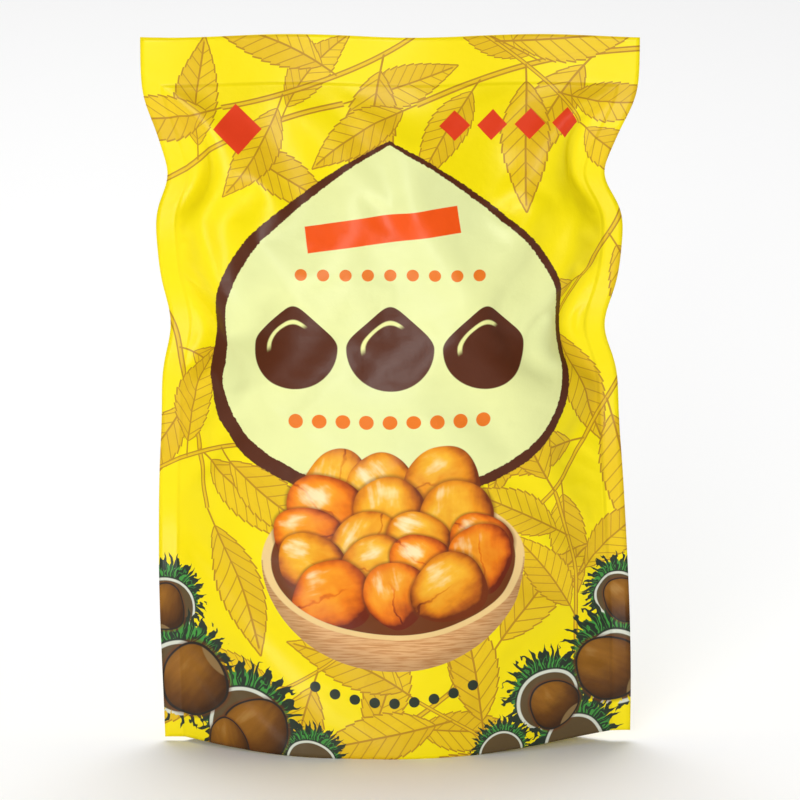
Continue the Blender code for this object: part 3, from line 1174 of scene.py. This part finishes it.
def draw_field(nodes, s, t, film, under):
    """Pale field with a pointed top. The brush line round it is thicker at the left, thinner at the tip."""
    across = (s - FIELD_CENTRE[0]) / FIELD_HALF_WIDTH
    above = nodes.larger(t - FIELD_CENTRE[1], 0.0) / FIELD_TIP
    below = nodes.larger(FIELD_CENTRE[1] - t, 0.0) / FIELD_FOOT
    wide = abs(across)
    slope = above ** (FIELD_TIP_POWER - 1) * (FIELD_TIP_POWER / FIELD_TIP)
    upper = 1 - (wide + above**FIELD_TIP_POWER)
    upper = upper / nodes.length(slope, 1 / FIELD_HALF_WIDTH)
    lower = (wide**FIELD_FOOT_POWER + below**FIELD_FOOT_POWER) ** (1 / FIELD_FOOT_POWER)
    lower = (1 - lower) * nodes.pick(below, FIELD_HALF_WIDTH, FIELD_FOOT)
    from_edge = nodes.pick(nodes.math("GREATER_THAN", below, 0.0), upper, lower)
    rough = nodes.noise(film, FIELD_LINE_ROUGH_SCALE) - 0.5
    from_edge = from_edge + rough * FIELD_LINE_ROUGH
    swelling = (nodes.noise(film, FIELD_LINE_SWELL_SCALE) - 0.5) * FIELD_LINE_SWELL
    leaning = FIELD_LINE - across * (FIELD_LINE * FIELD_LINE_LEAN)
    thinning = 1 - above * above * FIELD_LINE_THINNER
    thickness = (swelling + 1.0) * (leaning * thinning)
    colour = nodes.blend(nodes.edge(from_edge - thickness), RING_BROWN, pale_ink(nodes, film))
    return nodes.blend(nodes.edge(from_edge), under, colour)


def draw_back_block(nodes, s, t, film, under):
    """Pale block with rounded corners and a thin line, where a pack carries its small print."""
    reach = superellipse(s, t, BACK_BLOCK, BACK_BLOCK_POWER)
    from_edge = (1 - reach) * ((BACK_BLOCK[2] + BACK_BLOCK[3]) / 2)
    colour = nodes.blend(nodes.edge(from_edge - BACK_LINE), RING_BROWN, pale_ink(nodes, film))
    return nodes.blend(nodes.edge(from_edge), under, colour)


def draw_label(nodes, s, t, under):
    """Plain orange band, a little tilted."""
    centre_s, centre_t, half_width, half_height = LABEL
    x = s - centre_s
    y = t - centre_t
    cosine = math.cos(LABEL_TILT)
    sine = math.sin(LABEL_TILT)
    from_end = half_width - abs(x * cosine + y * sine)
    from_side = half_height - abs(y * cosine - x * sine)
    return nodes.blend(nodes.edge(nodes.smaller(from_end, from_side)), under, ORANGE)


# Bowl, in shares of its half width and height. A pair says where an effect starts and where it is full.
HEAP_EDGE = (1.0, 0.94)
RIM_EDGE = 0.006
RIM_FOOT = (1.0, 0.985)
WALL_EDGE = 0.003
WALL_LIGHT = 1.05
WALL_SHADE = 0.30
WALL_SHADE_FROM = (0.78, 1.0)
WOOD_STRETCH = (0.10, 1.6)
WOOD_GRAIN_FROM = (0.42, 0.62)

# Softness of the cut between the back and the front of the bowl, in millimetres
FRONT_FADE = 0.2


def draw_bowl(nodes, s, t, under):
    """Inside and back rim of a wooden bowl, with the shade between the kernels."""
    rim = superellipse(s, t, BOWL, 2)
    heap = superellipse(s, t, HEAP_SHADE, 2)
    colour = nodes.blend(nodes.step(heap, *HEAP_EDGE), under, BOWL_SHADE)
    colour = nodes.blend(nodes.step(rim, 1 + RIM_EDGE, 1 - RIM_EDGE), colour, WOOD_RIM)
    within = nodes.step(rim, BOWL_RIM_SHARE + RIM_EDGE, BOWL_RIM_SHARE - RIM_EDGE)
    return nodes.blend(within, colour, BOWL_SHADE)


def draw_bowl_front(nodes, s, t, under):
    """Front rim and outer wall of the bowl, with the grain of the wood, over the kernels."""
    rim = superellipse(s, t, BOWL, 2)
    body = superellipse(s, t, (BOWL[0], BOWL[1], BOWL[2], BOWL_DEPTH), 2)
    below = nodes.step(t, BOWL[1] + FRONT_FADE, BOWL[1] - FRONT_FADE)
    along, across = WOOD_STRETCH
    grain = nodes.noise(nodes.vector(s * along, t * across), 1.0, 3.0)
    wall = nodes.blend(nodes.step(grain, *WOOD_GRAIN_FROM), WOOD, WOOD_GRAIN)
    wall = nodes.scaled(wall, WALL_LIGHT - nodes.step(body, *WALL_SHADE_FROM) * WALL_SHADE)
    wall = nodes.blend(nodes.step(rim, *RIM_FOOT), wall, WOOD_RIM)
    beyond_opening = nodes.step(rim, BOWL_RIM_SHARE - RIM_EDGE, BOWL_RIM_SHARE + RIM_EDGE)
    on_front = nodes.step(body, 1 + WALL_EDGE, 1 - WALL_EDGE) * beyond_opening * below
    return nodes.blend(on_front, under, wall)


# Gloss and fine relief of the film
FILM_ROUGHNESS = 0.33
FILM_WORN = 0.10
WORN_SCALE = 0.05
FILM_SPECULAR = 0.17
CRINKLE_SCALE = 0.16
CRINKLE_HEIGHT = 0.00018
GRAIN_SCALE = 1.1
GRAIN_HEIGHT = 0.000012
SEAL_EDGE_BLUR = 0.9
SEAL_STEP = 0.00040


def film_material(name, draw):
    """Glossy laminate with a printed colour, faint crinkles and uneven gloss."""
    material = bpy.data.materials.new(name)
    material.use_nodes = True
    nodes = Nodes(material.node_tree)
    film = nodes.scaled(nodes.value("ShaderNodeUVMap", uv_map="film"), MILLIMETRES)
    s, t, _ = nodes.split(film)
    crinkle = nodes.noise(film, CRINKLE_SCALE, 3.0) * CRINKLE_HEIGHT
    grain = nodes.noise(film, GRAIN_SCALE) * GRAIN_HEIGHT
    beyond_side = abs(s) - INNER_HALF * MILLIMETRES
    beyond_top = t - FILLED_HEIGHT * MILLIMETRES
    sealed = nodes.step(nodes.larger(beyond_side, beyond_top), -SEAL_EDGE_BLUR, SEAL_EDGE_BLUR)
    height = crinkle + grain - sealed * SEAL_STEP
    bump = nodes.value("ShaderNodeBump", (("Height", height), ("Distance", 1.0), ("Strength", 1.0)))
    inputs = material.node_tree.nodes["Principled BSDF"].inputs
    nodes.feed(inputs["Base Color"], draw(nodes, s, t, film))
    nodes.feed(inputs["Roughness"], nodes.noise(film, WORN_SCALE, 3.0) * FILM_WORN + FILM_ROUGHNESS)
    nodes.feed(inputs["Specular IOR Level"], FILM_SPECULAR)
    nodes.feed(inputs["Normal"], bump)
    return material


def ground(nodes, film):
    return nodes.blend(nodes.noise(film, GROUND_SCALE), YELLOW, YELLOW_WARM)


def sprig_print(nodes, sprig_group, film):
    colour = ground(nodes, film)
    for name in reversed(SPRIG_LAYERS):
        colour = nodes.layer(sprig_group, name, colour)
    return colour


def front_print(sprig_group, mark_group):
    def draw(nodes, s, t, film):
        colour = sprig_print(nodes, sprig_group, film)
        colour = draw_field(nodes, s, t, film, colour)
        colour = draw_label(nodes, s, t, colour)
        colour = draw_bowl(nodes, s, t, colour)
        for name in reversed(MARK_LAYERS):
            colour = nodes.layer(mark_group, name, colour)
        return draw_bowl_front(nodes, s, t, colour)

    return draw


def back_print(sprig_group):
    def draw(nodes, s, t, film):
        colour = sprig_print(nodes, sprig_group, film)
        return draw_back_block(nodes, s, t, film, colour)

    return draw


def plain_print(nodes, s, t, film):
    return ground(nodes, film)


# Camera at the photograph's angle, far off as with a long lens
CAMERA_ELEVATION = math.radians(15)
CAMERA_DISTANCE = 8.0
IMAGE_SIDE = 800
PIXELS_PER_METRE = 2500
POUCH_MIDDLE_X = 390
POUCH_TOP_Y = 36
SENSOR = 36
CAMERA_REACH = 20


def add_camera():
    data = bpy.data.cameras.new("camera")
    data.sensor_width = SENSOR
    data.lens = SENSOR * CAMERA_DISTANCE * PIXELS_PER_METRE / IMAGE_SIDE
    data.clip_end = CAMERA_REACH
    camera = bpy.data.objects.new("camera", data)
    bpy.context.scene.collection.objects.link(camera)
    back = Vector((0, -math.cos(CAMERA_ELEVATION), math.sin(CAMERA_ELEVATION)))
    up = Vector((0, math.sin(CAMERA_ELEVATION), math.cos(CAMERA_ELEVATION)))
    right = Vector((1, 0, 0))
    half = IMAGE_SIDE / 2
    aim = Vector((0, 0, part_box("pouch")[1][2]))
    aim += right * (half - POUCH_MIDDLE_X) / PIXELS_PER_METRE
    aim += up * (POUCH_TOP_Y - half) / PIXELS_PER_METRE
    camera.location = aim + back * CAMERA_DISTANCE
    camera.rotation_euler = back.to_track_quat("Z", "Y").to_euler()
    bpy.context.scene.camera = camera


def add_area(name, place, target, size, power):
    data = bpy.data.lights.new(name, "AREA")
    data.size = size
    data.energy = power
    lamp = bpy.data.objects.new(name, data)
    lamp.location = place
    lamp.rotation_euler = (Vector(place) - Vector(target)).to_track_quat("Z", "Y").to_euler()
    bpy.context.scene.collection.objects.link(lamp)


FLOOR_HALF = 3.0
FLOOR_WHITE = 0.97
FLOOR_ROUGHNESS = 0.6
WORLD_STRENGTH = 0.20

# Lights: name, place, where it points, side, power
LIGHTS = (
    ("overhead", (0, 0.8, 1.9), (0, 0.3, 0), 1.8, 40),
    ("front", (-0.30, -1.7, 0.42), (0, 0, 0.15), 0.6, 21),
)


def floor_material():
    material = bpy.data.materials.new("floor_white")
    material.use_nodes = True
    shader = material.node_tree.nodes["Principled BSDF"]
    shader.inputs["Base Color"].default_value = (FLOOR_WHITE, FLOOR_WHITE, FLOOR_WHITE, 1)
    shader.inputs["Roughness"].default_value = FLOOR_ROUGHNESS
    return material


def add_stage():
    mesh = bpy.data.meshes.new("floor")
    ends = ((-1, -1), (1, -1), (1, 1), (-1, 1))
    mesh.from_pydata([(x * FLOOR_HALF, y * FLOOR_HALF, 0) for x, y in ends], [], [(0, 1, 2, 3)])
    floor = bpy.data.objects.new("floor", mesh)
    bpy.context.scene.collection.objects.link(floor)
    mesh.materials.append(floor_material())
    world = bpy.data.worlds.new("studio")
    world.use_nodes = True
    background = world.node_tree.nodes["Background"]
    background.inputs["Color"].default_value = (1, 1, 1, 1)
    background.inputs["Strength"].default_value = WORLD_STRENGTH
    bpy.context.scene.world = world
    for light in LIGHTS:
        add_area(*light)
    bpy.context.scene.view_settings.view_transform = "Standard"


def main():
    add_camera()
    add_stage()
    film = build_film()
    sprig_group = layer_group("sprig_layer", draw_sprig)
    mark_group = layer_group("mark_layer", draw_mark)
    film.data.materials.append(film_material("print_front", front_print(sprig_group, mark_group)))
    film.data.materials.append(film_material("print_back", back_print(sprig_group)))
    film.data.materials.append(film_material("print_gusset", plain_print))
    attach(film, "root")
    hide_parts("pouch")


main()
